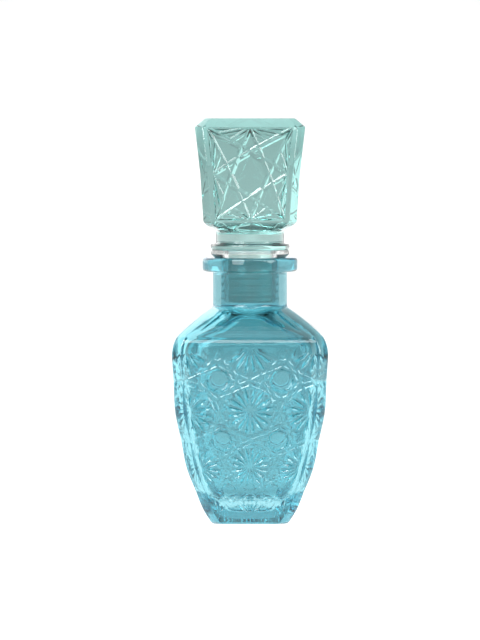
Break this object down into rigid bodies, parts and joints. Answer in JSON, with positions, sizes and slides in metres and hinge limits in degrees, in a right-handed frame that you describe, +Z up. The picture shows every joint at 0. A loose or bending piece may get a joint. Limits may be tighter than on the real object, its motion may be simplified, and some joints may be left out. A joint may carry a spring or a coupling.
{
  "type": "stoppered perfume bottle",
  "caption": "Small square pressed-glass perfume bottle with a flared glass stopper that lifts out on a soft finned seal.",
  "frame": {"origin": "middle of the base, on the surface that the bottle stands on", "axes": "+Z up through the stopper, -Y out of the front face, +X to the right seen from the front"},
  "size_m": [0.0468, 0.0468, 0.1216],
  "materials": {
    "bottle_glass": "pressed, fire-polished, tinted blue",
    "stopper_glass": "pressed, fire-polished, pale blue-green",
    "seal_plastic": "moulded, milky, translucent"
  },
  "bodies": {
    "bottle": {"bottle": "bottle_glass"},
    "seal": {"stopper_seal": "seal_plastic"},
    "stopper": {"stopper": "stopper_glass"}
  },
  "joints": [
    {"name": "stopper_lift", "type": "slide", "parent": "bottle", "child": "seal", "axis": [0, 0, 1], "range_m": [0, 0.03]},
    {"name": "stopper_turn", "type": "hinge", "parent": "seal", "child": "stopper", "pos_m": [0, 0, 0.082], "axis": [0, 0, 1], "continuous": true}
  ]
}
